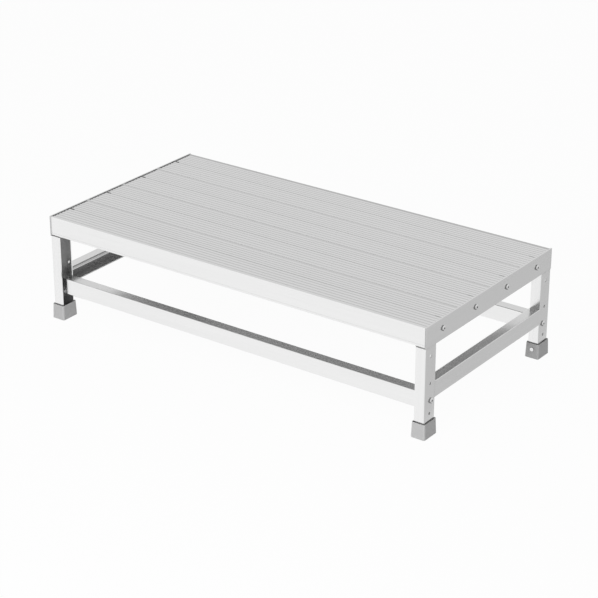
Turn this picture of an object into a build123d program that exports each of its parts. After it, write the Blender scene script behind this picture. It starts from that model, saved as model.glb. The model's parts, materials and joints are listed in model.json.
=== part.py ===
from build123d import *
import os

# Work step: a low aluminium stand with a ribbed deck on four legs.
# Millimetres. X runs along the deck, Y runs from the front to the back, Z is up.
# The origin is on the floor, under the middle of the deck.

# Overall sizes
step_length = 800.0
step_depth = 400.0
step_height = 200.0

# Deck planks: box extrusions with a ribbed top and a middle web that holds a screw channel
plank_count = 4
plank_seam = 0.3
plank_height = 35.0
plank_skin = 1.8
plank_wall = 1.5
plank_floor = 1.4
ribs_per_plank = 12
groove_width = 2.8
groove_depth = 1.3
groove_flank_angle = 62.0
middle_groove_width = 1.4
middle_groove_depth = 2.0
screw_channel_wall = 2.2
plank_web = 2.0
drain_slot_length = 11.0
drain_slot_width = 2.3
drain_slot_depth = 7.0
drain_slot_inset = 4.0

# End angles: a plate across the plank ends with a flange under the planks
angle_thickness = 2.4
angle_overhang = 1.15
angle_rise = 1.0
angle_flange_width = 22.0
angle_flange_setback = 3.5
angle_bend_radius = 0.4

# Legs: upright channels, open towards the middle, with empty holes in their end walls
leg_width_x = 20.0
leg_width_y = 30.0
leg_wall = 2.0
leg_setback = 1.5
outer_corner_radius = 1.2
upper_hole_diameter = 6.5
lower_hole_diameter = 5.0
upper_hole_gap = 16.5
middle_hole_gap = 16.5
lower_hole_gap = 14.0

# Side rails: channels between the legs at each end, open towards the middle under a lip
side_rail_width = 20.0
side_rail_height = 30.0
side_rail_wall = 2.0
side_rail_lip = 7.0
side_rail_lip_round = 3.0
side_rail_middle_height = 80.0

# Long rails: rectangular tubes whose ends stand inside the leg channels, against the inner flanges
long_rail_gap = 6.0
long_rail_height = 30.0
long_rail_wall = 2.0
long_rail_middle_height = 64.5
plug_length = 25.0

# Feet: plastic caps over the leg ends, with a gutter round the leg at the rim
foot_height = 28.0
foot_sole = 4.0
foot_wall = 3.6
foot_taper = 2.0
foot_corner_radius = 3.0
foot_edge_radius = 0.8
foot_rivet_height = 17.0
foot_seat_depth = 1.0
foot_gutter_width = 1.8
foot_gutter_depth = 4.0
foot_gutter_radius = 2.0

# Screws: round heads with a hexagon socket
screw_diameter = 5.0
screw_head_diameter = 9.5
screw_head_height = 2.75
screw_head_rounding = 1.0
socket_across_flats = 3.0
socket_depth = 1.6
screw_length = 25.0

# Foot rivets: a low round head outside and a set tail inside
rivet_diameter = 4.0
rivet_head_diameter = 8.0
rivet_head_height = 1.4
rivet_head_rounding = 0.7
rivet_tail_length = 3.0
rivet_tail_spread = 0.7

# Clearances
slide_clearance = 0.1
screw_clearance = 0.25
thread_clearance = 0.1
rivet_clearance = 0.05
seat_clearance = 0.3

# Deck places worked out from the sizes above
half_length = step_length / 2
half_depth = step_depth / 2
deck_top = step_height - angle_rise
deck_bottom = deck_top - plank_height
plank_pitch = (step_depth - 2 * angle_overhang + plank_seam) / plank_count
plank_width = plank_pitch - plank_seam
plank_length = step_length - 2 * angle_thickness
plank_places = [(number - (plank_count - 1) / 2) * plank_pitch for number in range(plank_count)]
rib_pitch = plank_pitch / ribs_per_plank
chamber_height = plank_height - groove_depth - plank_skin - plank_floor
drain_slot_spacing = plank_length - 2 * drain_slot_inset - drain_slot_length
screw_hole_radius = screw_diameter / 2 + screw_clearance
thread_hole_radius = screw_diameter / 2 + thread_clearance
screw_channel_radius = thread_hole_radius + screw_channel_wall
screw_channel_height = deck_bottom + plank_height / 2

# Leg and foot places
leg_top = deck_bottom - angle_thickness
leg_x = half_length - leg_width_x / 2
leg_y = half_depth - leg_setback - leg_width_y / 2
leg_inner_y = leg_y - leg_width_y / 2
leg_wall_x = half_length - leg_wall
leg_channel_y = leg_width_y - 2 * leg_wall
long_rail_top = long_rail_middle_height + long_rail_height / 2
upper_hole_height = leg_top - upper_hole_gap
lower_hole_heights = [long_rail_top + middle_hole_gap, foot_height + lower_hole_gap]
foot_pocket_x = leg_width_x + 2 * slide_clearance
foot_pocket_y = leg_width_y + 2 * slide_clearance
foot_gutter_x = foot_pocket_x + 2 * foot_gutter_width
foot_gutter_y = foot_pocket_y + 2 * foot_gutter_width
foot_seat_y = leg_inner_y - slide_clearance - foot_wall + foot_seat_depth

# Rail, screw and rivet places
side_rail_x = half_length - side_rail_width / 2
side_rail_chamber_x = side_rail_width - 2 * side_rail_wall
side_rail_chamber_z = side_rail_height - 2 * side_rail_wall
side_rail_floor = side_rail_middle_height - side_rail_chamber_z / 2
side_rail_mouth = side_rail_height - side_rail_wall - side_rail_lip
long_rail_width = leg_channel_y - long_rail_gap
long_rail_y = leg_inner_y + leg_wall + long_rail_width / 2
plug_y = long_rail_width - 2 * (long_rail_wall + slide_clearance)
plug_z = long_rail_height - 2 * (long_rail_wall + slide_clearance)
rivet_hole_radius = rivet_diameter / 2 + rivet_clearance
rivet_grip = foot_wall - foot_seat_depth + slide_clearance + leg_wall

sides = {"left": -1, "right": 1}
rows = {"front": -1, "back": 1}
rivet_places = [(side * leg_x, foot_rivet_height) for side in sides.values()]


def end_plane(side, x):
    """Upright plane across the length that faces outwards; it measures side times Y, then Z."""
    return Plane(origin=(side * x, 0, 0), x_dir=(0, side, 0), z_dir=(side, 0, 0))


def row_plane(row, y):
    """Upright plane along the length that faces the middle; it measures row times X, then Z."""
    return Plane(origin=(0, row * y, 0), x_dir=(row, 0, 0), z_dir=(0, -row, 0))


os.makedirs("parts", exist_ok=True)

# Deck planks, numbered from the front
for number, plank_y in enumerate(plank_places, start=1):
    plank_name = f"deck_plank_{number}"
    with BuildPart() as plank:
        with BuildSketch(Plane.YZ):
            with Locations((plank_y, deck_bottom)):
                Rectangle(plank_width, plank_height, align=(Align.CENTER, Align.MIN))
            with Locations((plank_y, deck_bottom + plank_floor)):
                Rectangle(
                    plank_width - 2 * plank_wall,
                    chamber_height,
                    align=(Align.CENTER, Align.MIN),
                    mode=Mode.SUBTRACT,
                )
                Rectangle(plank_web, chamber_height, align=(Align.CENTER, Align.MIN))
            with Locations((plank_y, screw_channel_height)):
                Circle(screw_channel_radius)
                Circle(thread_hole_radius, mode=Mode.SUBTRACT)
            with Locations((plank_y, deck_top - groove_depth / 2)):
                with GridLocations(rib_pitch, 0, ribs_per_plank + 1, 1):
                    Trapezoid(
                        groove_width,
                        groove_depth,
                        groove_flank_angle,
                        rotation=180,
                        mode=Mode.SUBTRACT,
                    )
            with Locations((plank_y, deck_top)):
                Rectangle(
                    middle_groove_width,
                    middle_groove_depth,
                    align=(Align.CENTER, Align.MAX),
                    mode=Mode.SUBTRACT,
                )
        extrude(amount=plank_length / 2, both=True)
        with BuildSketch(Plane.XY.offset(deck_top)):
            with Locations((0, plank_y)):
                with GridLocations(drain_slot_spacing, 0, 2, 1):
                    SlotOverall(drain_slot_length, drain_slot_width)
        extrude(amount=-drain_slot_depth, mode=Mode.SUBTRACT)
    plank.part.label = plank_name
    export_step(plank.part, f"parts/{plank_name}.step")

# End angles
for side_name, side in sides.items():
    angle_name = f"end_angle_{side_name}"
    with BuildPart() as angle:
        with BuildSketch(end_plane(side, half_length)):
            with Locations((0, leg_top)):
                Rectangle(step_depth, step_height - leg_top, align=(Align.CENTER, Align.MIN))
        extrude(amount=-angle_thickness)
        with BuildSketch(Plane.XY.offset(leg_top)):
            with Locations((side * (half_length - angle_flange_width / 2), 0)):
                Rectangle(angle_flange_width, step_depth - 2 * angle_flange_setback)
        extrude(amount=angle_thickness)
        low_edges = angle.edges().filter_by(Axis.Y).group_by(Axis.Z)[0]
        fillet(low_edges.sort_by(lambda edge: side * edge.center().X)[-1], radius=angle_bend_radius)
        with BuildSketch(end_plane(side, half_length)):
            with Locations([(side * plank_y, screw_channel_height) for plank_y in plank_places]):
                Circle(screw_hole_radius)
        extrude(amount=-angle_thickness, mode=Mode.SUBTRACT)
    angle.part.label = angle_name
    export_step(angle.part, f"parts/{angle_name}.step")

# Legs, with the feet under them
for side_name, side in sides.items():
    for row_name, row in rows.items():
        corner_name = f"{row_name}_{side_name}"
        leg_place = (side * leg_x, row * leg_y)
        across = side * row * leg_y
        along = side * row * leg_x
        with BuildPart() as leg:
            with BuildSketch(Plane.XY.offset(foot_sole)) as leg_profile:
                with Locations(leg_place):
                    Rectangle(leg_width_x, leg_width_y)
                outer_corners = leg_profile.vertices().group_by(Axis.X)[-1 if side > 0 else 0]
                fillet(outer_corners, radius=outer_corner_radius)
                with Locations((side * (leg_x - leg_wall), row * leg_y)):
                    Rectangle(leg_width_x, leg_channel_y, mode=Mode.SUBTRACT)
            extrude(amount=leg_top - foot_sole)
            with BuildSketch(end_plane(side, half_length)):
                with Locations((across, upper_hole_height)):
                    Circle(upper_hole_diameter / 2)
                with Locations([(across, height) for height in lower_hole_heights]):
                    Circle(lower_hole_diameter / 2)
                with Locations((side * row * long_rail_y, long_rail_middle_height)):
                    Circle(screw_hole_radius)
            extrude(amount=-leg_wall, mode=Mode.SUBTRACT)
            with BuildSketch(row_plane(row, leg_inner_y)):
                with Locations((along, foot_rivet_height)):
                    Circle(rivet_hole_radius)
            extrude(amount=-leg_wall, mode=Mode.SUBTRACT)
        leg.part.label = f"leg_{corner_name}"
        export_step(leg.part, f"parts/leg_{corner_name}.step")

        with BuildPart() as foot:
            with BuildSketch(Plane.XY):
                with Locations(leg_place):
                    RectangleRounded(
                        foot_pocket_x + 2 * foot_wall,
                        foot_pocket_y + 2 * foot_wall,
                        foot_corner_radius,
                    )
            extrude(amount=foot_height, taper=foot_taper)
            fillet(foot.faces().sort_by(Axis.Z)[0].edges(), radius=foot_edge_radius)
            with BuildSketch(Plane.XY.offset(foot_sole)):
                with Locations(leg_place):
                    Rectangle(foot_pocket_x, foot_pocket_y)
            extrude(amount=foot_height - foot_sole, mode=Mode.SUBTRACT)
            with BuildSketch(Plane.XY.offset(foot_height)):
                with Locations(leg_place):
                    RectangleRounded(foot_gutter_x, foot_gutter_y, foot_gutter_radius)
            extrude(amount=-foot_gutter_depth, mode=Mode.SUBTRACT)
            with BuildSketch(row_plane(row, foot_seat_y)):
                with Locations((along, foot_rivet_height)):
                    Circle(rivet_head_diameter / 2 + seat_clearance)
            extrude(amount=foot_seat_depth, mode=Mode.SUBTRACT)
            with BuildSketch(row_plane(row, foot_seat_y)):
                with Locations((along, foot_rivet_height)):
                    Circle(rivet_hole_radius)
            extrude(amount=-foot_wall, mode=Mode.SUBTRACT)
        foot.part.label = f"foot_{corner_name}"
        export_step(foot.part, f"parts/foot_{corner_name}.step")

# Side rails
for side_name, side in sides.items():
    side_rail_name = f"side_rail_{side_name}"
    with BuildPart() as side_rail:
        with BuildSketch(Plane.XZ) as rail_profile:
            with Locations((side * side_rail_x, side_rail_middle_height)):
                Rectangle(side_rail_width, side_rail_height)
            outer_corners = rail_profile.vertices().group_by(Axis.X)[-1 if side > 0 else 0]
            fillet(outer_corners, radius=outer_corner_radius)
            top_corners = rail_profile.vertices().group_by(Axis.Y)[-1]
            fillet(top_corners.sort_by(Axis.X)[0 if side > 0 else -1], radius=side_rail_lip_round)
            with Locations((side * side_rail_x, side_rail_middle_height)):
                Rectangle(side_rail_chamber_x, side_rail_chamber_z, mode=Mode.SUBTRACT)
            with Locations((side * (side_rail_x - side_rail_wall), side_rail_floor)):
                Rectangle(
                    side_rail_width,
                    side_rail_mouth,
                    align=(Align.CENTER, Align.MIN),
                    mode=Mode.SUBTRACT,
                )
        extrude(amount=leg_inner_y, both=True)
    side_rail.part.label = side_rail_name
    export_step(side_rail.part, f"parts/{side_rail_name}.step")

# Long rails, with the threaded plugs in their ends
for row_name, row in rows.items():
    long_rail_name = f"long_rail_{row_name}"
    with BuildPart() as long_rail:
        with BuildSketch(Plane.YZ):
            with Locations((row * long_rail_y, long_rail_middle_height)):
                RectangleRounded(long_rail_width, long_rail_height, outer_corner_radius)
                Rectangle(
                    long_rail_width - 2 * long_rail_wall,
                    long_rail_height - 2 * long_rail_wall,
                    mode=Mode.SUBTRACT,
                )
        extrude(amount=leg_wall_x, both=True)
    long_rail.part.label = long_rail_name
    export_step(long_rail.part, f"parts/{long_rail_name}.step")

    plugs_name = f"rail_plugs_{row_name}"
    with BuildPart() as plugs:
        for side in sides.values():
            with BuildSketch(end_plane(side, leg_wall_x)):
                with Locations((side * row * long_rail_y, long_rail_middle_height)):
                    Rectangle(plug_y, plug_z)
                    Circle(thread_hole_radius, mode=Mode.SUBTRACT)
            extrude(amount=-plug_length)
    plugs.part.label = plugs_name
    export_step(plugs.part, f"parts/{plugs_name}.step")

# Screws: through the end angles into the planks, and through the legs into the rail plugs
screw_groups = {
    "plank_screws": (plank_places, screw_channel_height),
    "rail_screws": ([row * long_rail_y for row in rows.values()], long_rail_middle_height),
}
for group_name, (screw_ys, screw_height) in screw_groups.items():
    for side_name, side in sides.items():
        screws_name = f"{group_name}_{side_name}"
        screw_places = [(side * screw_y, screw_height) for screw_y in screw_ys]
        with BuildPart() as screws:
            with BuildSketch(end_plane(side, half_length)):
                with Locations(screw_places):
                    Circle(screw_head_diameter / 2)
            extrude(amount=screw_head_height)
            head_tops = screws.faces().sort_by(lambda face: side * face.center().X)[-len(screw_places):]
            fillet(head_tops.edges(), radius=screw_head_rounding)
            with BuildSketch(end_plane(side, half_length)):
                with Locations(screw_places):
                    Circle(screw_diameter / 2)
            extrude(amount=-screw_length)
            with BuildSketch(end_plane(side, half_length + screw_head_height)):
                with Locations(screw_places):
                    RegularPolygon(socket_across_flats / 2, 6, major_radius=False)
            extrude(amount=-socket_depth, mode=Mode.SUBTRACT)
        screws.part.label = screws_name
        export_step(screws.part, f"parts/{screws_name}.step")

# Foot rivets: through the feet into the legs' inner flanges
for row_name, row in rows.items():
    rivets_name = f"foot_rivets_{row_name}"
    seat_plane = row_plane(row, foot_seat_y)
    with BuildPart() as rivets:
        with BuildSketch(seat_plane):
            with Locations(rivet_places):
                Circle(rivet_head_diameter / 2)
        extrude(amount=rivet_head_height)
        head_tops = rivets.faces().sort_by(lambda face: seat_plane.to_local_coords(face.center()).Z)
        fillet(head_tops[-len(rivet_places):].edges(), radius=rivet_head_rounding)
        with BuildSketch(seat_plane):
            with Locations(rivet_places):
                Circle(rivet_diameter / 2)
        extrude(amount=-rivet_grip)
        with BuildSketch(seat_plane.offset(-rivet_grip)):
            with Locations(rivet_places):
                Circle(rivet_diameter / 2 + rivet_tail_spread)
        extrude(amount=-rivet_tail_length)
    rivets.part.label = rivets_name
    export_step(rivets.part, f"parts/{rivets_name}.step")
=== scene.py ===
"""Looks of the work step: a low aluminium stand with a ribbed deck on four legs.

The planks, end angles, legs, rails, feet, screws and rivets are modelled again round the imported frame,
with softened edges and the small details of the real pieces. Every piece gets a procedural finish.
"""

import json
import logging
import math
from dataclasses import dataclass, field
from enum import Enum
from typing import Any, Callable, Sequence, Union

import bmesh
import bpy
from mathutils import Matrix, Vector

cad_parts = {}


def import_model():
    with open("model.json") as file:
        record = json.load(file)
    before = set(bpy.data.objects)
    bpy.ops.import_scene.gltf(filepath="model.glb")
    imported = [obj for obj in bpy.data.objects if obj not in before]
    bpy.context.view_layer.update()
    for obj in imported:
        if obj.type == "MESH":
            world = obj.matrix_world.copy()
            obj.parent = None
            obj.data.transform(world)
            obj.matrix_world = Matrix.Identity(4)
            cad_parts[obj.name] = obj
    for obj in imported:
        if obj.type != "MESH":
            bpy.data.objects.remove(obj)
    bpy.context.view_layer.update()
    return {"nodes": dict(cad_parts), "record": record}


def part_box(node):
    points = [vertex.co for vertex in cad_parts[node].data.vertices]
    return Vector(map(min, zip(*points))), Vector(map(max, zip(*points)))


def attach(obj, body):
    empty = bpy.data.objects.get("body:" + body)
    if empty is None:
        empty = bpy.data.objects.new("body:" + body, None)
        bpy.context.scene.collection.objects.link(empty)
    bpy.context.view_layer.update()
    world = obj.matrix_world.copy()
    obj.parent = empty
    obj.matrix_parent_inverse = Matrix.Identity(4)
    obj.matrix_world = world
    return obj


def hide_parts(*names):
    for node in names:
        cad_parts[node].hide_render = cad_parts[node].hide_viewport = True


log = logging.getLogger("work_step")

Part = Union[bmesh.types.BMFace, bmesh.types.BMEdge]
Triple = tuple[float, float, float]
Box = tuple[Vector, Vector]

MM = 0.001
BODY = "root"
HALF_TURN = Matrix.Rotation(math.pi, 4, "Z")
SIDES = {"left": -1, "right": 1}
ROWS = {"front": -1, "back": 1}
PLANKS = range(1, 5)
ORIGIN = Vector()
FAR = math.inf

# How far apart two places may be and still count as the same.
NEAR = 0.02 * MM
# Above the first cosine a direction counts as along an axis, and below the second as square to it.
ALONG = 0.99
SQUARE = 0.1
# Edges that are sharper than this angle count as corners.
CORNER_ANGLE = math.radians(60)
# How many faces the round of an edge, of a rim and of a profile's corner has.
EDGE_STEPS = 2
RIM_STEPS = 3
CORNER_STEPS = 4
# How many finer layers a plain noise and a rich one have, and the mean of both.
PLAIN = 2.0
RICH = 3.0
MEAN = 0.5
# The inputs of a Mix node for colours, with the second one's share first, and its output.
MIX_SHARE, MIX_FIRST, MIX_SECOND = 0, 6, 7
MIX_RESULT = 2


class Pick(Enum):
    """What a selection in edit mode is made of."""

    EDGES = "EDGE"
    FACES = "FACE"


class Axis(Enum):
    """A direction of the frame, as an index into a vector."""

    X = 0
    Y = 1
    Z = 2


class Slot(Enum):
    """The record's material slots."""

    DECK = "deck_aluminium"
    FRAME = "frame_aluminium"
    RIVET = "rivet_aluminium"
    SCREW = "screw_steel"
    FOOT = "foot_plastic"


class Mark(Enum):
    """What the finishes read from a piece's faces."""

    WORN = "worn"
    # Oxide in the deck's grooves and laps, and painted shade on the left legs' flanges.
    GROOVE = "groove"
    # Raw: a dark, dull tone on cut faces, also used as painted shade in hollows, on the deck's underside
    # and on round heads.
    RAW = "raw"
    SMOOTH = "smooth"


class Ray(Enum):
    """The kinds of rays that the studio shows its own tone to."""

    CAMERA = "Is Camera Ray"
    GLOSSY = "Is Glossy Ray"
    TRANSMISSION = "Is Transmission Ray"


def take_up(*things: bpy.types.Object) -> None:
    """Select just these objects and make the first one active.

    Args:
        things: The objects to work on.
    """
    bpy.ops.object.select_all(action="DESELECT")
    for thing in things:
        thing.select_set(True)
    bpy.context.view_layer.objects.active = things[0]


def middle_of(part: Part) -> Vector:
    """Give the middle of a face's or an edge's corners."""
    return sum((corner.co for corner in part.verts), Vector()) / len(part.verts)


def run_of(edge: bmesh.types.BMEdge) -> Vector:
    """Give the way from an edge's first end to its second."""
    return edge.verts[1].co - edge.verts[0].co


def along(axis: Axis, length: float) -> Vector:
    """Give a vector of this length along an axis."""
    return Vector([length if axis is other else 0.0 for other in Axis])


def centre_of(node: str) -> Vector:
    """Give the middle of a solid's box."""
    low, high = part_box(node)
    return (low + high) / 2


class Where:
    """A test for faces or edges, which joins with other tests by & and |."""

    def __init__(self, test: Callable[[Any], bool]) -> None:
        """Wrap a plain test."""
        self.test = test

    def __call__(self, part: Part) -> bool:
        """Tell whether a face or an edge passes."""
        return self.test(part)

    def __and__(self, other: "Where") -> "Where":
        """Pass what passes both tests."""
        return Where(lambda part: self(part) and other(part))

    def __or__(self, other: "Where") -> "Where":
        """Pass what passes one test or the other."""
        return Where(lambda part: self(part) or other(part))


def towards(axis: Axis, sign: int, least: float = ALONG) -> Where:
    """Pass faces that look along an axis, or against it where the sign is -1."""
    return Where(lambda face: sign * face.normal[axis.value] > least)


def across(axis: Axis) -> Where:
    """Pass faces that look along an axis or against it."""
    return Where(lambda face: abs(face.normal[axis.value]) > ALONG)


def beside(axis: Axis, most: float = SQUARE) -> Where:
    """Pass faces that look aside from an axis."""
    return Where(lambda face: abs(face.normal[axis.value]) < most)


def between(axis: Axis, low: float, high: float = FAR) -> Where:
    """Pass faces and edges with their middle between two places along an axis."""
    return Where(lambda part: low < middle_of(part)[axis.value] < high)


def at(axis: Axis, place: float) -> Where:
    """Pass faces and edges with their middle at a place along an axis."""
    return between(axis, place - NEAR, place + NEAR)


def apart(axis: Axis, low: float, high: float) -> Where:
    """Pass faces and edges between two distances from the frame's middle, on either side of it."""
    return Where(lambda part: low < abs(middle_of(part)[axis.value]) < high)


def off_line(low: float, high: float = FAR, spot: Vector = ORIGIN) -> Where:
    """Pass faces and edges between two distances from a line along X through a spot."""
    return Where(lambda part: low <= (middle_of(part) - spot).yz.length < high)


def parallel(axis: Axis) -> Where:
    """Pass edges that run along an axis."""
    return Where(lambda edge: abs(run_of(edge)[axis.value]) > ALONG * run_of(edge).length)


X, Y, Z = Axis
UP, DOWN, OUT, IN = towards(Z, 1), towards(Z, -1), towards(X, 1), towards(X, -1)
ON_AXIS = off_line(0, NEAR)
SHARP = Where(lambda edge: edge.calc_face_angle(0.0) > CORNER_ANGLE)


class Workpiece:
    """One mesh that is shaped with edit-mode operators, as by hand."""

    def __init__(self, thing: bpy.types.Object, name: str) -> None:
        """Take over a new object and apply its place to its mesh.

        Args:
            thing: The object that holds the mesh.
            name: The piece's name.
        """
        self.thing = thing
        thing.name = name
        thing.data.name = name
        take_up(thing)
        bpy.ops.object.transform_apply(location=True, rotation=True, scale=True)

    @classmethod
    def block(cls, name: str, low: Vector, high: Vector) -> "Workpiece":
        """Start a piece from a cube between its lowest and its highest corner."""
        bpy.ops.mesh.primitive_cube_add(size=1, location=(low + high) / 2, scale=high - low)
        return cls(bpy.context.object, name)

    @classmethod
    def rod(cls, name: str, start: Vector, end: Vector, radius: float, sides: int) -> "Workpiece":
        """Start a piece from a cylinder between two points.

        Args:
            name: The piece's name.
            start: The middle of one end.
            end: The middle of the other end.
            radius: The rod's radius.
            sides: How many sides its round has.

        Returns:
            The new piece.
        """
        run = end - start
        bpy.ops.mesh.primitive_cylinder_add(
            vertices=sides,
            radius=radius,
            depth=run.length,
            location=(start + end) / 2,
            rotation=run.to_track_quat("Z", "Y").to_euler(),
        )
        return cls(bpy.context.object, name)

    def edit(self, pick: Pick, where: Where, operator: Callable[..., Any], **settings: Any) -> None:
        """Run an operator in edit mode with just the elements selected that pass a test.

        Args:
            pick: Whether edges or faces are tested.
            where: The test that an element has to pass.
            operator: The operator.
            settings: The operator's settings.
        """
        take_up(self.thing)
        bpy.ops.object.mode_set(mode="EDIT")
        bpy.ops.mesh.select_mode(type=pick.value)
        bpy.ops.mesh.select_all(action="DESELECT")
        mesh = bmesh.from_edit_mesh(self.thing.data)
        for element in list(filter(where, mesh.faces if pick is Pick.FACES else mesh.edges)):
            element.select_set(True)
        bmesh.update_edit_mesh(self.thing.data)
        operator(**settings)
        bpy.ops.object.mode_set(mode="OBJECT")

    def cut(self, axis: Axis, place: float, where: Where) -> None:
        """Cut faces in two at a place along an axis."""
        plane = {"plane_co": along(axis, place), "plane_no": along(axis, 1)}
        self.edit(Pick.FACES, where, bpy.ops.mesh.bisect, **plane)

    def shift(self, where: Where, by: Vector) -> None:
        """Move faces, and stretch the faces beside them."""
        self.edit(Pick.FACES, where, bpy.ops.transform.translate, value=by)

    def extrude(self, where: Where, by: Vector) -> None:
        """Extrude faces along a vector."""
        self.edit(Pick.FACES, where, bpy.ops.mesh.extrude_region_move, TRANSFORM_OT_translate={"value": by})

    def inset(self, where: Where, width: float) -> None:
        """Inset faces, each by itself, and leave a rim of this width."""
        self.edit(Pick.FACES, where, bpy.ops.mesh.inset, thickness=width, use_individual=True)

    def resize(self, where: Where, by: Vector, about: Vector) -> None:
        """Scale faces by a factor along each axis, about a point that stays."""
        self.edit(Pick.FACES, where, bpy.ops.transform.resize, value=by, center_override=about)

    def bevel(self, where: Where, width: float, steps: int) -> None:
        """Round edges off, with a number of faces over the round's width."""
        self.edit(Pick.EDGES, where, bpy.ops.mesh.bevel, offset=width, segments=steps)

    def drop(self, where: Where) -> None:
        """Delete faces."""
        self.edit(Pick.FACES, where, bpy.ops.mesh.delete, type="FACE")

    def finish(self, kind: str, **settings: Any) -> None:
        """Add a modifier and apply it.

        Args:
            kind: The modifier's type.
            settings: The modifier's settings.
        """
        modifier = self.thing.modifiers.new(kind.lower(), kind)
        for name, value in settings.items():
            setattr(modifier, name, value)
        take_up(self.thing)
        bpy.ops.object.modifier_apply(modifier=modifier.name)

    def hollow(self, wall: float) -> None:
        """Give an open skin a wall on its inside."""
        self.finish("SOLIDIFY", thickness=wall, offset=-1, use_even_offset=True)

    def carve(self, tool: "Workpiece") -> None:
        """Cut another piece out of this one and throw the cutter away."""
        self.finish("BOOLEAN", operation="DIFFERENCE", solver="EXACT", object=tool.thing)
        bpy.data.meshes.remove(tool.thing.data)

    def copy(self, name: str, move: Matrix) -> "Workpiece":
        """Copy the piece with a mesh of its own.

        Args:
            name: The copy's name.
            move: The turn and the shift from this piece to its copy.

        Returns:
            The copy.
        """
        mesh = self.thing.data.copy()
        mesh.transform(move)
        thing = bpy.data.objects.new(name, mesh)
        bpy.context.scene.collection.objects.link(thing)
        return Workpiece(thing, name)

    def join(self, others: Sequence["Workpiece"]) -> None:
        """Make other pieces part of this one."""
        take_up(self.thing, *[other.thing for other in others])
        bpy.ops.object.join()

    def mark(self, mark: Mark, where: Where, share: float = 1.0) -> None:
        """Mark faces for the finish.

        Args:
            mark: The mark.
            where: Which faces get it.
            share: How strong it is, from 0 to 1.
        """
        mesh = bmesh.new()
        mesh.from_mesh(self.thing.data)
        layers = mesh.faces.layers.float
        layer = layers.get(mark.value) or layers.new(mark.value)
        for face in filter(where, mesh.faces):
            face[layer] = share
        mesh.to_mesh(self.thing.data)
        mesh.free()

    def polish(self, smooth_angle: float = 35.0, strip: float = 1.6 * MM, flatness: int = 100) -> None:
        """Mark the narrow edge strips for wear, shade the rounds smooth and keep the flats flat.

        Args:
            smooth_angle: Edges sharper than this angle in degrees stay sharp.
            strip: Square faces below this side, and long ones below half of it, are edge strips.
            flatness: How much more large faces count than small ones where they share a normal.
        """
        self.mark(Mark.WORN, Where(lambda face: 4 * face.calc_area() < strip * face.calc_perimeter()))
        take_up(self.thing)
        bpy.ops.object.shade_smooth_by_angle(angle=math.radians(smooth_angle))
        self.finish("WEIGHTED_NORMAL", keep_sharp=True, weight=flatness)


Value = Union[float, Sequence[float], "Wire"]


class Wire:
    """One output of a shader node, which takes part in plain arithmetic."""

    def __init__(self, bench: "ShaderBench", socket: bpy.types.NodeSocket) -> None:
        """Wrap an output socket of a node tree."""
        self.bench = bench
        self.socket = socket

    def maths(self, operation: str, first: Value, second: Value) -> "Wire":
        """Add a Math node and give its result."""
        return self.bench.add("ShaderNodeMath", {0: first, 1: second}, operation=operation)

    def __add__(self, other: Value) -> "Wire":
        """Add a value, from either side."""
        return self.maths("ADD", self, other)

    def __sub__(self, other: Value) -> "Wire":
        """Take a value away."""
        return self.maths("SUBTRACT", self, other)

    def __rsub__(self, other: Value) -> "Wire":
        """Take away from a value."""
        return self.maths("SUBTRACT", other, self)

    def __mul__(self, other: Value) -> "Wire":
        """Multiply by a value, from either side."""
        return self.maths("MULTIPLY", self, other)

    __radd__ = __add__
    __rmul__ = __mul__


class ShaderBench:
    """A node tree that is filled by plain expressions."""

    def __init__(self, tree: bpy.types.NodeTree) -> None:
        """Take over the tree of a material or of the world, and empty it."""
        self.tree = tree
        tree.nodes.clear()

    def add(self, kind: str, sockets: dict[Any, Value], output: Any = 0, **settings: Any) -> Wire:
        """Add any node.

        Args:
            kind: The node's type.
            sockets: A value or a link for each input, by name or by number.
            output: The output that is given back, by name or by number.
            settings: The node's own settings, set first.

        Returns:
            The chosen output.
        """
        node = self.tree.nodes.new(kind)
        for name, value in settings.items():
            setattr(node, name, value)
        for name, value in sockets.items():
            if isinstance(value, Wire):
                self.tree.links.new(value.socket, node.inputs[name])
            else:
                node.inputs[name].default_value = value
        return Wire(self, node.outputs[output] if len(node.outputs) else None)

    def close(self, kind: str, surface: Wire) -> None:
        """Link a finished shader to the tree's output."""
        self.add(kind, {"Surface": surface})

    def coat(self, relief: Wire, strength: float, depth: float, sockets: dict[str, Value]) -> None:
        """Finish a material with a shader over a fine relief.

        Args:
            relief: The relief's height.
            strength: How strongly the relief shows.
            depth: How deep it is.
            sockets: The shader's inputs, by name.
        """
        bump = self.add("ShaderNodeBump", {"Strength": strength, "Distance": depth, "Height": relief})
        shader = self.add("ShaderNodeBsdfPrincipled", {**sockets, "Normal": bump})
        self.close("ShaderNodeOutputMaterial", shader)

    def place(self) -> Wire:
        """Give the object's own coordinates."""
        return self.add("ShaderNodeTexCoord", {}, "Object")

    def noise(self, waves: Sequence[float], detail: float) -> Wire:
        """Add a noise with its own count of waves a metre along X, Y and Z."""
        mapped = self.add("ShaderNodeMapping", {"Vector": self.place(), "Scale": waves})
        return self.add("ShaderNodeTexNoise", {"Vector": mapped, "Scale": 1.0, "Detail": detail})

    def band(self, value: Wire, low: float, high: float) -> Wire:
        """Make a soft mask that rises from 0 to 1 between two values."""
        sockets = {"Value": value, "From Min": low, "From Max": high}
        return self.add("ShaderNodeMapRange", sockets, interpolation_type="SMOOTHSTEP")

    def blend(self, share: Value, first: Value, second: Value) -> Wire:
        """Mix two colours by the second one's share."""
        sockets = {MIX_SHARE: share, MIX_FIRST: first, MIX_SECOND: second}
        return self.add("ShaderNodeMix", sockets, MIX_RESULT, data_type="RGBA")

    def mark(self, mark: Mark) -> Wire:
        """Give a mark that the pieces carry on some of their faces."""
        return self.add("ShaderNodeAttribute", {}, "Fac", attribute_name=mark.value)

    def ray(self, ray: Ray) -> Wire:
        """Tell whether the light path is a ray of one kind."""
        return self.add("ShaderNodeLightPath", {}, ray.value)


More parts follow.
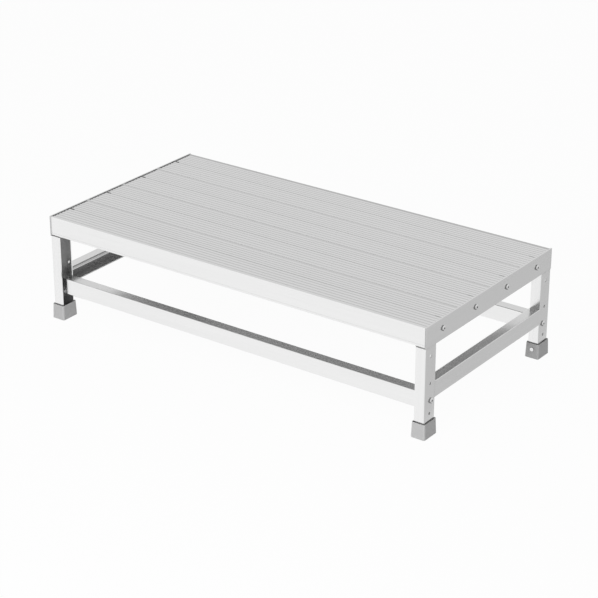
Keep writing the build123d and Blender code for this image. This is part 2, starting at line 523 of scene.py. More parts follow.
def grey(level: float, warmth: float = 0.0) -> tuple[float, float, float, float]:
    """Give a nearly neutral colour, which leans to yellow, or to blue where the warmth is below 0."""
    return (level * (1 + warmth), level, level * (1 - warmth), 1.0)


@dataclass(frozen=True)
class Finish:
    """A procedural finish."""

    name: str

    def material(self) -> bpy.types.Material:
        """Build the node material.

        Returns:
            The material.
        """
        material = bpy.data.materials.new(self.name)
        material.use_nodes = True
        self.paint(ShaderBench(material.node_tree))
        return material

    def paint(self, bench: ShaderBench) -> None:
        """Fill the node tree, each finish in its own way."""
        raise NotImplementedError


@dataclass(frozen=True)
class AluminiumFinish(Finish):
    """Satin aluminium with drawn lines along its grain."""

    grain: Axis
    level: float = 0.88
    roughness: float = 0.22
    fine_waves: tuple[float, float] = (9.0, 1100.0)
    broad_waves: tuple[float, float] = (2.5, 170.0)
    smudge_waves: float = 14.0
    fine_share: float = 0.6
    line_contrast: float = 0.015
    line_gain: float = 4.0
    line_rough: float = 0.10
    line_bump: float = 0.03
    line_depth: float = 0.1 * MM
    smudge_gain: float = 0.5
    smudge_rough: float = 0.08
    worn_share: float = 0.5
    worn_gain: float = 1.1
    raw_level: float = 0.33
    raw_dullness: float = 0.6
    groove_level: float = 0.45
    smooth_drop: float = 0.14

    def drawn(self, lengthwise: float, crosswise: float) -> list[float]:
        """Give a noise's waves a metre along X, Y and Z from those along and across the grain."""
        return [lengthwise if axis is self.grain else crosswise for axis in Axis]

    def paint(self, bench: ShaderBench) -> None:
        """Lay lines, smudges and the pieces' marks over bright metal.

        Args:
            bench: The node tree.
        """
        fine = bench.noise(self.drawn(*self.fine_waves), RICH)
        broad = bench.noise(self.drawn(*self.broad_waves), PLAIN)
        lines = self.fine_share * fine + (1 - self.fine_share) * broad
        streak = lines - MEAN
        smudge = bench.noise([self.smudge_waves] * 3, RICH) - MEAN
        shade = MEAN + self.line_gain * streak + self.smudge_gain * smudge
        dark, light = (grey(self.level * (1 + sign * self.line_contrast)) for sign in (-1, 1))
        colour = bench.blend(shade, dark, light)
        # This mark darkens: oxide in the deck's grooves and laps, and painted shade on the left legs'
        # flanges.
        colour = bench.blend(bench.mark(Mark.GROOVE), colour, grey(self.groove_level))
        worn = self.worn_share * bench.mark(Mark.WORN)
        colour = bench.blend(worn, colour, grey(min(1.0, self.level * self.worn_gain)))
        # This mark darkens and dulls the metal: raw cut faces, and painted shade in hollows and on the
        # deck's underside.
        raw = bench.mark(Mark.RAW)
        colour = bench.blend(raw, colour, grey(self.raw_level))
        rough = self.roughness + self.line_rough * streak + self.smudge_rough * smudge
        rough = rough - self.smooth_drop * bench.mark(Mark.SMOOTH)
        sockets = {"Base Color": colour, "Metallic": 1.0 - self.raw_dullness * raw, "Roughness": rough}
        bench.coat(lines, self.line_bump, self.line_depth, sockets)


@dataclass(frozen=True)
class SteelFinish(Finish):
    """Zinc-plated steel with a faint cloudy tint."""

    level: float = 0.92
    roughness: float = 0.2
    cloud_waves: float = 350.0
    cloud_contrast: float = 0.08
    cloud_rough: float = 0.12
    cool_tint: float = -0.02
    warm_tint: float = 0.015
    grit_waves: float = 2600.0
    grit_bump: float = 0.08
    grit_depth: float = 0.05 * MM
    worn_share: float = 0.4
    worn_gain: float = 1.2
    raw_level: float = 0.12

    def paint(self, bench: ShaderBench) -> None:
        """Lay a cloudy tint and the pieces' marks over bright metal.

        Args:
            bench: The node tree.
        """
        cloud = bench.noise([self.cloud_waves] * 3, RICH)
        cool = grey((1 - self.cloud_contrast) * self.level, self.cool_tint)
        warm = grey((1 + self.cloud_contrast) * self.level, self.warm_tint)
        colour = bench.blend(cloud, cool, warm)
        worn = self.worn_share * bench.mark(Mark.WORN)
        colour = bench.blend(worn, colour, grey(min(1.0, self.worn_gain * self.level)))
        # Painted shade: this mark darkens a screw head's socket, its side and its lower rim.
        colour = bench.blend(bench.mark(Mark.RAW), colour, grey(self.raw_level))
        rough = self.roughness + self.cloud_rough * (cloud - MEAN)
        grit = bench.noise([self.grit_waves] * 3, PLAIN)
        sockets = {"Base Color": colour, "Metallic": 1.0, "Roughness": rough}
        bench.coat(grit, self.grit_bump, self.grit_depth, sockets)


@dataclass(frozen=True)
class PlasticFinish(Finish):
    """Grained moulded plastic with rubbed edges."""

    level: float = 0.52
    roughness: float = 0.55
    cloud_waves: float = 60.0
    cloud_contrast: float = 0.06
    grain_waves: float = 1500.0
    grain_rough: float = 0.15
    grain_bump: float = 0.25
    grain_depth: float = 0.08 * MM
    worn_share: float = 0.35
    worn_gain: float = 1.25
    worn_rough: float = 0.08

    def paint(self, bench: ShaderBench) -> None:
        """Lay a faint cloud, a grain and rubbed edges over plain plastic.

        Args:
            bench: The node tree.
        """
        cloud = bench.noise([self.cloud_waves] * 3, RICH)
        grain = bench.noise([self.grain_waves] * 3, PLAIN)
        worn = bench.mark(Mark.WORN)
        dark, light = (grey((1 + sign * self.cloud_contrast) * self.level) for sign in (-1, 1))
        colour = bench.blend(cloud, dark, light)
        colour = bench.blend(self.worn_share * worn, colour, grey(self.worn_gain * self.level))
        rough = self.roughness + self.grain_rough * (grain - MEAN) - self.worn_rough * worn
        bench.coat(grain, self.grain_bump, self.grain_depth, {"Base Color": colour, "Roughness": rough})


@dataclass(frozen=True)
class FloorFinish(Finish):
    """Pale paint that looks white, keeps a soft shadow and has a painted shade to the right, seen only in
    mirrors.
    """

    level: float = 0.85
    camera_share: float = 0.96
    glossy_share: float = 0.95
    fade_start: float = 0.36
    fade_end: float = 0.46
    fade_level: float = 0.58

    def paint(self, bench: ShaderBench) -> None:
        """Mix plain paint with a white glow for what is seen and mirrored, and paint shade to the right
        into the mirrored glow.

        Args:
            bench: The node tree.
        """
        seen, mirrored, passed = map(bench.ray, Ray)
        share = self.camera_share * seen + self.glossy_share * (mirrored + passed)
        sideways = bench.add("ShaderNodeSeparateXYZ", {0: bench.place()}, "X")
        # Painted shade: the mirrored glow turns darker to the right of the step.
        mirrored_shade = mirrored * bench.band(sideways, self.fade_start, self.fade_end)
        tone = bench.blend(mirrored_shade, grey(1.0), grey(self.fade_level))
        paint = bench.add("ShaderNodeBsdfDiffuse", {"Color": grey(self.level)})
        glow = bench.add("ShaderNodeEmission", {"Color": tone, "Strength": 1.0})
        mixed = bench.add("ShaderNodeMixShader", {0: share, 1: paint, 2: glow})
        bench.close("ShaderNodeOutputMaterial", mixed)


@dataclass
class SubAssembly:
    """Pieces that are modelled and dressed together."""

    pieces: list[Workpiece] = field(default_factory=list, init=False)

    def build(self) -> None:
        """Model the pieces, each sub-assembly in its own way."""
        raise NotImplementedError

    def keep(self, slot: Slot, **pieces: Workpiece) -> None:
        """Seat finished pieces on the stand in place of solids.

        Args:
            slot: The record's material slot of these pieces; it is not used.
            pieces: The finished pieces, by the solids that they stand for.
        """
        for node, piece in pieces.items():
            piece.polish()
            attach(piece.thing, BODY)
            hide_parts(node)
            self.pieces.append(piece)
            log.info("%s: %d faces", piece.thing.name, len(piece.thing.data.polygons))

    def dress(self, material: bpy.types.Material) -> None:
        """Give every piece one finish.

        Args:
            material: The finish.
        """
        for piece in self.pieces:
            piece.thing.data.materials.clear()
            piece.thing.data.materials.append(material)


@dataclass
class Deck(SubAssembly):
    """The four ribbed planks, with lengths in metres and marks as shares of 1."""

    ribs: int = 12
    seam: float = 0.3 * MM
    groove_width: float = 2.8 * MM
    groove_depth: float = 1.3 * MM
    flank_width: float = 0.7 * MM
    middle_depth: float = 2.0 * MM
    line_height: float = 3.9 * MM
    line_width: float = 0.5 * MM
    line_depth: float = 0.35 * MM
    crest_round: float = 0.3 * MM
    foot_round: float = 0.4 * MM
    slot_length: float = 11.0 * MM
    slot_width: float = 2.3 * MM
    left_slot_width: float = 4.2 * MM
    slot_depth: float = 7.0 * MM
    slot_inset: float = 4.0 * MM
    slot_start: float = 1.2 * MM
    slot_round: float = 0.49
    slot_steps: int = 5
    lap_width: float = 7.0 * MM
    lap_depth: float = 0.3 * MM
    left_notch: float = 2.9 * MM
    right_notch: float = 0.6 * MM
    notch_depth: float = 2.4 * MM
    notch_end: float = 3.0 * MM
    groove_share: float = 0.38
    middle_share: float = 0.5
    crest_share: float = 1 / 3
    lap_share: float = 0.28
    back_share: float = 0.65

    def build(self) -> None:
        """Model one plank and copy it across the deck."""
        nodes = [f"deck_plank_{number}" for number in PLANKS]
        low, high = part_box(nodes[0])
        plank = Workpiece.block("plank_1", low, high - along(Z, self.notch_depth))
        for work in (self.step_ends, self.rib, self.line, self.pierce):
            work(plank, (low, high))
        # The underside is raw, and painted dark as shade under the deck.
        plank.mark(Mark.RAW, DOWN)
        copies = [plank]
        for number, node in enumerate(nodes[1:], start=2):
            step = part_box(node)[0] - low
            copies.append(plank.copy(f"plank_{number}", Matrix.Translation(step)))
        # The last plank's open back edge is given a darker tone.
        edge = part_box(nodes[-1])[1] - Vector((0, self.lap_width, 2 * self.lap_depth))
        on_back_edge = UP & between(Y, edge.y) & between(Z, edge.z)
        copies[-1].mark(Mark.GROOVE, on_back_edge, self.back_share)
        for piece, node in zip(copies, nodes):
            self.close_steps(piece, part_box(node))
            self.keep(Slot.DECK, **{node: piece})

    def step_ends(self, plank: Workpiece, box: Box) -> None:
        """Raise the top between two narrow steps next to the end plates.

        Args:
            plank: The plank, as a block that ends at the steps' height.
            box: The plank's lowest and highest corner.
        """
        low, high = box
        left, right = low.x + self.left_notch, high.x - self.right_notch
        for place in (left, right):
            plank.cut(X, place, UP)
        plank.extrude(UP & between(X, left, right), along(Z, self.notch_depth))

    def close_steps(self, plank: Workpiece, box: Box) -> None:
        """Close the steps' ends, where a plank's long walls reach the end plates.

        Args:
            plank: The finished plank.
            box: The plank's lowest and highest corner.
        """
        low, high = box
        fills = []
        for left, width in ((low.x, self.left_notch), (high.x - self.right_notch, self.right_notch)):
            size = Vector((width, self.notch_end, self.notch_depth))
            for near in (low.y, high.y - self.notch_end):
                corner = Vector((left, near, high.z - self.notch_depth))
                fills.append(Workpiece.block("step_end", corner, corner + size))
        plank.join(fills)

    def rib(self, plank: Workpiece, box: Box) -> None:
        """Cut the grooves into a plank's top and round the ribs between them.

        Args:
            plank: The plank, as a stepped block.
            box: The plank's lowest and highest corner.
        """
        low, high = box
        middle = (low.y + high.y) / 2
        pitch = (high.y - low.y + self.seam) / self.ribs
        half = self.groove_width / 2
        floor = half - self.flank_width
        lap = high.y - self.lap_width
        back_pitch = (lap + half - middle) / (self.ribs / 2)
        steps = range(1 - self.ribs // 2, self.ribs // 2)
        centres = [middle + step * (pitch if step < 0 else back_pitch) for step in steps]
        in_floors = Where(lambda face: any(abs(middle_of(face).y - centre) < floor for centre in centres))
        in_middle = between(Y, middle - half, middle + half)
        on_top = UP & between(Z, high.z - self.groove_depth - NEAR)
        on_lap = on_top & between(Y, lap + self.lap_depth)
        crest = high.z - self.crest_share * self.groove_depth
        in_groove = towards(Z, 1, SQUARE) & between(Z, high.z - self.middle_depth - NEAR, crest)
        for centre in centres:
            for reach in (-half, -floor, floor, half):
                plank.cut(Y, centre + reach, on_top)
        plank.cut(Y, lap, on_top)
        plank.cut(Y, lap + self.lap_depth, on_top)
        plank.shift(on_top & in_floors, along(Z, -self.groove_depth))
        plank.shift(on_lap, along(Z, -self.lap_depth))
        deeper = along(Z, self.groove_depth - self.middle_depth)
        plank.extrude(on_top & in_floors & in_middle, deeper)
        plank.bevel(parallel(X) & at(Z, high.z), self.crest_round, EDGE_STEPS)
        plank.mark(Mark.GROOVE, in_groove, self.groove_share)
        plank.mark(Mark.GROOVE, in_groove & in_middle, self.middle_share)
        plank.mark(Mark.GROOVE, on_lap, self.lap_share)
        plank.bevel(parallel(X) & at(Z, low.z), self.foot_round, RIM_STEPS)

    def line(self, plank: Workpiece, box: Box) -> None:
        """Press the fine line along each of a plank's long sides.

        Args:
            plank: The ribbed plank.
            box: The plank's lowest and highest corner.
        """
        low, high = box
        height = low.z + self.line_height
        for sign, place in ((-1, low.y), (1, high.y)):
            on_side = towards(Y, sign) & at(Y, place)
            for reach in (-self.line_width / 2, self.line_width / 2):
                plank.cut(Z, height + reach, on_side)
            plank.extrude(on_side & at(Z, height), along(Y, -sign * self.line_depth))

    def pierce(self, plank: Workpiece, box: Box) -> None:
        """Cut the drain slot near each end of a plank's middle groove.

        Args:
            plank: The ribbed plank.
            box: The plank's lowest and highest corner.
        """
        low, high = box
        middle = (low + high) / 2
        inner = self.slot_inset + self.slot_length
        slots = (
            (low.x + self.slot_start, low.x + self.slot_length, self.left_slot_width),
            (high.x - inner, high.x - self.slot_inset, self.slot_width),
        )
        for left, right, width in slots:
            place = Vector(((left + right) / 2, middle.y, high.z))
            half = Vector(((right - left) / 2, width / 2, self.slot_depth))
            cutter = Workpiece.block("drain_slot", place - half, place + half)
            cutter.bevel(parallel(Z), self.slot_round * width, self.slot_steps)
            plank.carve(cutter)
            reach = width / 2 + NEAR
            in_slot = between(X, left - NEAR, right + NEAR) & between(Y, middle.y - reach, middle.y + reach)
            deep = between(Z, -FAR, high.z - self.middle_depth - NEAR)
            # Painted shade: the drain slots' walls and floors are darkened.
            plank.mark(Mark.RAW, in_slot & (beside(Z) | deep))


@dataclass
class EndAngles(SubAssembly):
    """The plates across the plank ends, with a flange under the planks."""

    thickness: float = 2.4 * MM
    flange_setback: float = 3.5 * MM
    bend_radius: float = 0.4 * MM
    edge_round: float = 0.25 * MM
    cut_share: float = 0.8
    inner_share: float = 0.22
    inner_tilt: float = 0.3

    def build(self) -> None:
        """Model the right angle and turn a copy of it round for the left."""
        low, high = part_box("end_angle_right")
        inner = high.x - self.thickness
        flange_top = low.z + self.thickness
        flange_end = high.y - self.flange_setback
        angle = Workpiece.block("end_plate_right", Vector((inner, low.y, low.z)), high)
        angle.cut(Z, flange_top, IN)
        for end in (low.y + self.flange_setback, flange_end):
            angle.cut(Y, end, IN)
        on_root = IN & between(Z, -FAR, flange_top) & between(Y, -flange_end, flange_end)
        angle.extrude(on_root, along(X, low.x - inner))
        angle.bevel(parallel(Y) & at(X, high.x) & at(Z, low.z), self.bend_radius, CORNER_STEPS)
        angle.bevel(SHARP & Where(lambda edge: edge.is_convex), self.edge_round, EDGE_STEPS)
        # The sawn ends are darker; the inner faces get painted shade for the gap by the planks.
        angle.mark(Mark.RAW, across(Y), self.cut_share)
        angle.mark(Mark.RAW, towards(X, -1, self.inner_tilt), self.inner_share)
        other = angle.copy("end_plate_left", HALF_TURN)
        self.keep(Slot.FRAME, end_angle_right=angle, end_angle_left=other)


@dataclass
class Legs(SubAssembly):
    """The four upright channels, with the empty holes of the record's mounts in their end walls."""

    mounts: Sequence[dict[str, Any]]
    wall: float = 2.0 * MM
    corner_radius: float = 1.2 * MM
    edge_round: float = 0.3 * MM
    rim_round: float = 0.25 * MM
    rim_reach: float = 1.05
    hole_sides: int = 40
    height_digits: int = 5
    flange_share: float = 0.05
    shaded_share: float = 0.2
    shade_steps: int = 8
    shade_step: float = 2.3 * MM
    bore_share: float = 0.6
    wide_bore_share: float = 0.35

    def build(self) -> None:
        """Model the front right leg and copy it to the other corners."""
        low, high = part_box("leg_front_right")
        middle = abs(low.y + high.y) / 2
        web = high.x - self.wall + NEAR
        clear = (high.y - low.y) / 2 - self.wall + NEAR
        on_inside = apart(X, low.x + self.edge_round, web) & apart(Y, middle - clear, middle + clear)
        bores = apart(X, web, high.x - NEAR) & apart(Y, middle - 2 * self.wall, middle + 2 * self.wall)
        leg = Workpiece.block("upright_front_right", low, high)
        leg.drop(across(Z) | IN)
        leg.bevel(parallel(Z) & at(X, high.x), self.corner_radius, CORNER_STEPS)
        leg.hollow(self.wall)
        leg.bevel(parallel(Z) & at(X, low.x), self.edge_round, EDGE_STEPS)
        # Painted shade inside the channel: a little on the flanges and fully on the web; the top end is
        # raw.
        leg.mark(Mark.RAW, on_inside, self.flange_share)
        leg.mark(Mark.RAW, on_inside & IN)
        leg.mark(Mark.RAW, UP)
        self.drill(leg, (low, high))
        back = leg.copy("upright_back_right", Matrix.Translation((0, -low.y - high.y, 0)))
        front_left = back.copy("upright_front_left", HALF_TURN)
        back_left = leg.copy("upright_back_left", HALF_TURN)
        # Only the left copies get painted shade on their flanges, and none in their bores.
        for shaded in (front_left, back_left):
            shaded.mark(Mark.RAW, bores, 0.0)
            self.shade(shaded, on_inside & across(Y))
        self.keep(Slot.FRAME, leg_front_right=leg, leg_back_right=back)
        self.keep(Slot.FRAME, leg_front_left=front_left, leg_back_left=back_left)

    def shade(self, leg: Workpiece, on_flange: Where) -> None:
        """Make a left leg's flanges smoother inside, and paint shade on them that darkens towards the long
        rail.

        Args:
            leg: The finished channel.
            on_flange: The test for the flanges' inner sides.
        """
        rail_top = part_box("long_rail_front")[1].z
        heights = [rail_top + step * self.shade_step for step in range(self.shade_steps + 1)]
        leg.mark(Mark.RAW, on_flange, self.shaded_share)
        leg.mark(Mark.SMOOTH, on_flange)
        for height in heights:
            leg.cut(Z, height, on_flange)
        for step, (low, high) in enumerate(zip(heights, heights[1:])):
            leg.mark(Mark.GROOVE, on_flange & between(Z, low, high), 1 - step / self.shade_steps)

    def drill(self, leg: Workpiece, box: Box) -> None:
        """Drill the empty holes through the end wall and break their rims.

        Args:
            leg: The open channel.
            box: The leg's lowest and highest corner.
        """
        low, high = box
        holes = {}
        for pattern in [mount for mount in self.mounts if mount["kind"] == "bolt_pattern"]:
            reach = pattern["dims"].get("spacing_y_mm", 0.0) / 2 * MM
            for sign in (-1, 1):
                height = round(pattern["pos_m"][2] + sign * reach, self.height_digits)
                holes[height] = pattern["dims"]["hole_r_mm"] * MM
        for height, radius in holes.items():
            spot = Vector((high.x, (low.y + high.y) / 2, height))
            through = along(X, 2 * self.wall)
            leg.carve(Workpiece.rod("drill", spot - through, spot + through, radius, self.hole_sides))
            in_hole = off_line(0, self.rim_reach * radius, spot)
            leg.bevel(in_hole & at(X, high.x), self.rim_round, EDGE_STEPS)
            # Painted shade in the bores of the holes.
            share = self.wide_bore_share if radius > min(holes.values()) else self.bore_share
            leg.mark(Mark.RAW, in_hole & between(X, high.x - self.wall, high.x), share)


@dataclass
class SideRails(SubAssembly):
    """The channels between the legs at each end, open towards the middle under a lip."""

    wall: float = 2.0 * MM
    lip: float = 7.0 * MM
    lip_radius: float = 3.0 * MM
    lip_steps: int = 5
    corner_radius: float = 1.2 * MM
    edge_round: float = 0.3 * MM
    inside_share: float = 0.7
    lip_edge: float = 1.5 * MM
    lip_share: float = 0.4
    lip_face_share: float = 0.66
    lip_tilt: float = 0.8

    def build(self) -> None:
        """Model the right channel and turn a copy of it round for the left."""
        low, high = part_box("side_rail_right")
        lip_end = high.z - self.lip
        lip_face = lip_end + self.lip_edge
        rail = Workpiece.block("side_channel_right", low, high)
        rail.drop(across(Y))
        rail.cut(Z, lip_end, IN)
        rail.drop(IN & between(Z, -FAR, lip_end))
        rail.bevel(parallel(Y) & at(X, high.x), self.corner_radius, CORNER_STEPS)
        rail.bevel(parallel(Y) & at(X, low.x) & at(Z, high.z), self.lip_radius, self.lip_steps)
        rail.hollow(self.wall)
        left, bottom = low.x + self.wall, low.z + self.wall
        lip_mouth = at(Z, lip_end) & between(X, -FAR, left + NEAR)
        flange_mouth = at(X, low.x) & between(Z, -FAR, bottom + NEAR)
        rail.bevel(parallel(Y) & (lip_mouth | flange_mouth), self.edge_round, EDGE_STEPS)
        inside = between(X, left - NEAR, high.x - self.wall + NEAR)
        inside = inside & between(Z, bottom - NEAR, high.z - self.wall + NEAR)
        flange_end = between(X, -FAR, low.x + NEAR) & between(Z, -FAR, bottom)
        on_lip = towards(X, -1, self.lip_tilt) & between(Z, lip_end)
        # Painted shade inside the channel and on the lip's inner face, darker above its lowest strip.
        rail.mark(Mark.RAW, inside | flange_end, self.inside_share)
        rail.cut(Z, lip_face, on_lip)
        rail.mark(Mark.RAW, on_lip, self.lip_share)
        rail.mark(Mark.RAW, on_lip & between(Z, lip_face), self.lip_face_share)
        other = rail.copy("side_channel_left", HALF_TURN)
        self.keep(Slot.FRAME, side_rail_right=rail, side_rail_left=other)


@dataclass
class LongRails(SubAssembly):
    """The rectangular tubes between the legs at the front and the back."""

    wall: float = 2.0 * MM
    corner_radius: float = 1.2 * MM

    def build(self) -> None:
        """Model the front tube and turn a copy of it round for the back."""
        rail = Workpiece.block("long_tube_front", *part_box("long_rail_front"))
        rail.drop(across(X))
        rail.bevel(parallel(X), self.corner_radius, CORNER_STEPS)
        rail.hollow(self.wall)
        other = rail.copy("long_tube_back", HALF_TURN)
        self.keep(Slot.FRAME, long_rail_front=rail, long_rail_back=other)


@dataclass
class Feet(SubAssembly):
    """The plastic caps over the leg ends, with their taper in degrees."""

    taper: float = 2.0
    corner_radius: float = 3.0 * MM
    corner_steps: int = 6
    sole_round: float = 0.8 * MM
    rim_round: float = 0.3 * MM
    gutter_width: float = 1.8 * MM
    gutter_depth: float = 4.0 * MM
    pocket_clearance: float = 0.1 * MM
    pocket_depth: float = 24.0 * MM
    seat_radius: float = 4.3 * MM
    seat_depth: float = 1.0 * MM
    seat_sides: int = 48
    cutter_length: float = 4.0 * MM
    wall: float = 3.6 * MM
    rivet_height: float = 17.0 * MM

    def build(self) -> None:
        """Model the front right foot and copy it to the other corners."""
        low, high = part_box("foot_front_right")
        leg_low, leg_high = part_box("leg_front_right")
        size, middle = high - low, (low + high) / 2
        draft = 2 * size.z * math.tan(math.radians(self.taper))
        shrink = Vector((1 - draft / size.x, 1 - draft / size.y, 1))
        upright = Where(lambda edge: abs(run_of(edge).z) > size.z / 2)
        in_pocket = UP & Where(lambda face: (middle_of(face) - middle).xy.length < MM)
        foot = Workpiece.block("cap_front_right", low, high)
        foot.resize(UP, shrink, Vector((middle.x, middle.y, high.z)))
        foot.bevel(upright, self.corner_radius, self.corner_steps)
        rim_width = (size.x - draft - (leg_high.x - leg_low.x)) / 2 - self.pocket_clearance
        foot.inset(UP, rim_width - self.gutter_width)
        foot.extrude(in_pocket, along(Z, -self.gutter_depth))
        foot.inset(in_pocket, self.gutter_width)
        foot.extrude(in_pocket, along(Z, self.gutter_depth - self.pocket_depth))
        for height, width in ((high.z, self.rim_round), (low.z, self.sole_round)):
            foot.bevel(at(Z, height) & SHARP, width, RIM_STEPS)
        seat = leg_high.y + self.pocket_clearance + self.wall - self.seat_depth
        start = Vector((middle.x, seat, self.rivet_height))
        end = start + along(Y, self.cutter_length)
        foot.carve(Workpiece.rod("seat_cutter", start, end, self.seat_radius, self.seat_sides))
        left = foot.copy("cap_front_left", Matrix.Translation((-2 * middle.x, 0, 0)))
        back_left = foot.copy("cap_back_left", HALF_TURN)
        back_right = left.copy("cap_back_right", HALF_TURN)
        self.keep(Slot.FOOT, foot_front_right=foot, foot_front_left=left)
        self.keep(Slot.FOOT, foot_back_left=back_left, foot_back_right=back_right)


@dataclass
class Fasteners(SubAssembly):
    """Pieces with a round head, modelled along X with the head's underside at the origin."""

    slot: Slot
    head_radius: float
    head_height: float
    head_round: float
    head_steps: int
    head_sides: int
    shank_radius: float
    shank_length: float

    def blank(self) -> Workpiece:
        """Model a round head with a softened edge, on its shank.

        Returns:
            The plain fastener.
        """
        top = along(X, self.head_height)
        piece = Workpiece.rod("fastener", ORIGIN, top, self.head_radius, self.head_sides)
        piece.bevel(at(X, self.head_height), self.head_round, self.head_steps)
        piece.inset(IN & ON_AXIS, self.head_radius - self.shank_radius)
        piece.extrude(IN & ON_AXIS, along(X, -self.shank_length))
        return piece

    def set_out(self, node: str, name: str, model: Workpiece, places: Sequence[Matrix]) -> None:
        """Copy a model to its places as one piece.

        Args:
            node: The solids that the copies stand for.
            name: The piece's name.
            model: The piece to copy.
            places: The turn and the shift of each copy.
        """
        first, *others = [model.copy(name, place) for place in places]
        first.join(others)
        self.keep(self.slot, **{node: first})


@dataclass
class Screws(Fasteners):
    """The round-headed screws in the end angles and in the legs."""

    slot: Slot = Slot.SCREW
    head_radius: float = 4.75 * MM
    head_height: float = 2.75 * MM
    head_round: float = 1.35 * MM
    head_steps: int = 6
    head_sides: int = 48
    shank_radius: float = 2.5 * MM
    shank_length: float = 25.0 * MM
    socket_flats: float = 3.0 * MM
    socket_depth: float = 1.6 * MM
    socket_sides: int = 6
    side_share: float = 0.8
    rim_share: float = 0.9
    rim_steps: int = 6

    def model(self) -> Workpiece:
        """Model one screw, with painted shade in its socket, on its side and on its rim, darker towards the
        bottom of its head.

        Returns:
            The screw.
        """
        screw = self.blank()
        reach = self.socket_flats / 2 / math.cos(math.pi / self.socket_sides)
        floor = along(X, self.head_height - self.socket_depth)
        above = along(X, 2 * self.head_height)
        screw.carve(Workpiece.rod("socket", floor, above, reach, self.socket_sides))
        # Painted shade in the socket, on the head's side and on its rim, deeper towards the bottom.
        screw.mark(Mark.RAW, between(X, 0, self.head_height - NEAR) & off_line(0, reach))
        screw.mark(Mark.RAW, between(X, 0) & off_line(reach) & beside(X), self.side_share)
        on_rim = towards(X, 1, SQUARE) & beside(X, ALONG) & off_line(self.head_radius - self.head_round)
        for step in range(self.rim_steps):
            drop = self.head_radius * step / (2 * self.rim_steps)
            share = self.rim_share * (step + 1) / self.rim_steps
            screw.mark(Mark.RAW, on_rim & between(Z, -FAR, -drop), share)
        return screw

    def build(self) -> None:
        """Copy the screws to their places."""
        screw = self.model()
        planks = [centre_of(f"deck_plank_{number}") for number in PLANKS]
        rails = [centre_of(f"long_rail_{row_name}") for row_name in ROWS]
        for side_name, side in SIDES.items():
            turn = Matrix.Identity(4) if side > 0 else HALF_TURN
            for node, spots in ((f"plank_screws_{side_name}", planks), (f"rail_screws_{side_name}", rails)):
                low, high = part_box(node)
                seat = high.x - self.head_height if side > 0 else low.x + self.head_height
                places = [Matrix.Translation((seat, spot.y, spot.z)) @ turn for spot in spots]
                self.set_out(node, f"{node}_heads", screw, places)
        bpy.data.meshes.remove(screw.thing.data)


@dataclass
class Rivets(Fasteners):
    """The blind rivets in the feet."""

    slot: Slot = Slot.RIVET
    head_radius: float = 4.0 * MM
    head_height: float = 1.4 * MM
    head_round: float = 0.7 * MM
    head_steps: int = 5
    head_sides: int = 40
    shank_radius: float = 2.0 * MM
    shank_length: float = 4.0 * MM
    mandrel_radius: float = 1.2 * MM
    mandrel_rim: float = 0.5 * MM
    mandrel_depth: float = 0.35 * MM
    mandrel_rise: float = 0.2 * MM
    rim_tilt: float = 0.9

    def model(self) -> Workpiece:
        """Model one rivet, with the end of its mandrel in the head.

        Returns:
            The rivet.
        """
        rivet = self.blank()
        flat = self.head_radius - self.head_round
        on_mandrel = OUT & ON_AXIS
        rivet.inset(on_mandrel, flat - self.mandrel_radius)
        rivet.extrude(on_mandrel, along(X, -self.mandrel_depth))
        rivet.inset(on_mandrel, self.mandrel_rim)
        rivet.extrude(on_mandrel, along(X, self.mandrel_rise))
        # Painted shade on the rim round the head.
        rivet.mark(Mark.RAW, beside(X, self.rim_tilt) & off_line(flat))
        return rivet

    def build(self) -> None:
        """Copy the rivets to their places."""
        rivet = self.model()
        for row_name, row in ROWS.items():
            node = f"foot_rivets_{row_name}"
            low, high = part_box(node)
            seat = high.y - self.head_height if row < 0 else low.y + self.head_height
            facing = Matrix.Rotation(-row * math.pi / 2, 4, "Z")
            legs = [centre_of(f"leg_{row_name}_{side_name}") for side_name in SIDES]
            places = [Matrix.Translation((leg.x, seat, (low.z + high.z) / 2)) @ facing for leg in legs]
            self.set_out(node, f"{node}_heads_left", rivet, places)
        bpy.data.meshes.remove(rivet.thing.data)


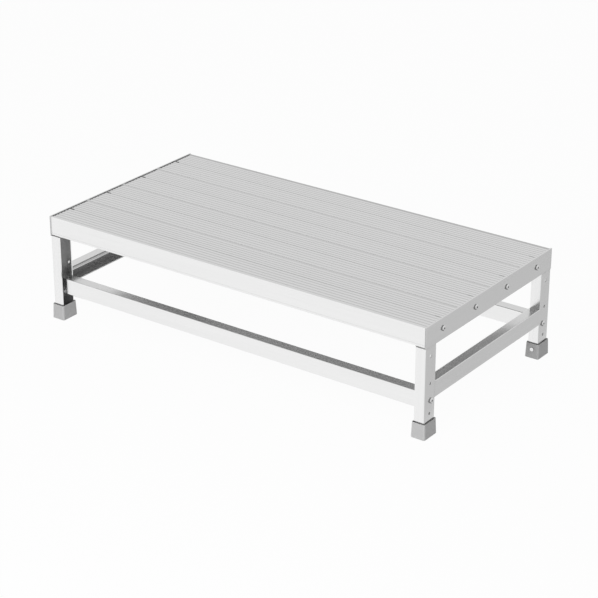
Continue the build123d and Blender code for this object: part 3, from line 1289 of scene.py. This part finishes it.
@dataclass
class Studio:
    """The pale floor, the soft light and the camera, in metres and degrees, the lens in millimetres."""

    floor_size: float = 60.0
    ambient: float = 0.47
    sky: float = 0.725
    lamp_place: Triple = (0.4, -2.2, 0.95)
    lamp_size: float = 1.6
    lamp_watts: float = 29.0
    azimuth: float = 36.04
    elevation: float = 24.47
    distance: float = 3.475
    target: Triple = (0.0428, -0.0498, 0.1)
    lens: float = 119.8
    sensor: float = 36.0

    def build(self) -> None:
        """Set up the floor, the world, the lamp and the camera."""
        self.lay_floor()
        self.light_world()
        self.hang_lamp()
        self.set_camera()
        bpy.context.scene.view_settings.view_transform = "Standard"

    def lay_floor(self) -> None:
        """Lay the floor under the step."""
        bpy.ops.mesh.primitive_plane_add(size=self.floor_size)
        floor = bpy.context.object
        floor.name = "studio_floor"
        floor.data.materials.append(FloorFinish("floor_paint").material())

    def light_world(self) -> None:
        """Light the scene evenly from a world that is paler where it is seen or mirrored."""
        world = bpy.data.worlds.new("studio_world")
        world.use_nodes = True
        bpy.context.scene.world = world
        bench = ShaderBench(world.node_tree)
        seen, mirrored, passed = map(bench.ray, Ray)
        strength = self.ambient + (self.sky - self.ambient) * (seen + mirrored + passed)
        sky = bench.add("ShaderNodeBackground", {"Color": grey(1.0), "Strength": strength})
        bench.close("ShaderNodeOutputWorld", sky)

    def hang_lamp(self) -> None:
        """Hang a square soft lamp that points at the step and isn't mirrored in the metal."""
        aim = Vector(self.target) - Vector(self.lamp_place)
        turn = aim.to_track_quat("-Z", "Y").to_euler()
        bpy.ops.object.light_add(type="AREA", location=self.lamp_place, rotation=turn)
        lamp = bpy.context.object
        lamp.name = "key_light"
        lamp.visible_glossy = False
        lamp.data.size = self.lamp_size
        lamp.data.energy = self.lamp_watts

    def set_camera(self) -> None:
        """Stand the camera at the picture's viewing angle."""
        turn, rise = math.radians(self.azimuth), math.radians(self.elevation)
        back = Vector((math.sin(turn) * math.cos(rise), -math.cos(turn) * math.cos(rise), math.sin(rise)))
        place = Vector(self.target) + self.distance * back
        bpy.ops.object.camera_add(location=place, rotation=(-back).to_track_quat("-Z", "Y").to_euler())
        camera = bpy.context.object
        camera.name = "camera"
        camera.data.lens = self.lens
        camera.data.sensor_width = self.sensor
        bpy.context.scene.camera = camera


def main() -> None:
    """Build, dress and light the work step."""
    logging.basicConfig(level=logging.INFO, format="%(name)s: %(message)s")
    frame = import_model()
    lengthwise = AluminiumFinish("aluminium_lengthwise", X).material()
    crosswise = AluminiumFinish("aluminium_crosswise", Y).material()
    upright = AluminiumFinish("aluminium_upright", Z).material()
    steel = SteelFinish("zinc_plated_steel").material()
    rivet_metal = AluminiumFinish("rivet_aluminium", X, level=0.85, line_contrast=0.02).material()
    plastic = PlasticFinish("grey_foot_plastic").material()
    for node in frame["nodes"].values():
        node.data.materials.clear()
        node.data.materials.append(upright)

    sections = (
        (Deck(), lengthwise),
        (EndAngles(), crosswise),
        (Legs(frame["record"]["mounts"]), upright),
        (SideRails(), crosswise),
        (LongRails(), lengthwise),
        (Feet(), plastic),
        (Screws(), steel),
        (Rivets(), rivet_metal),
    )
    for section, finish in sections:
        section.build()
        section.dress(finish)
    Studio().build()


if __name__ == "__main__":
    main()
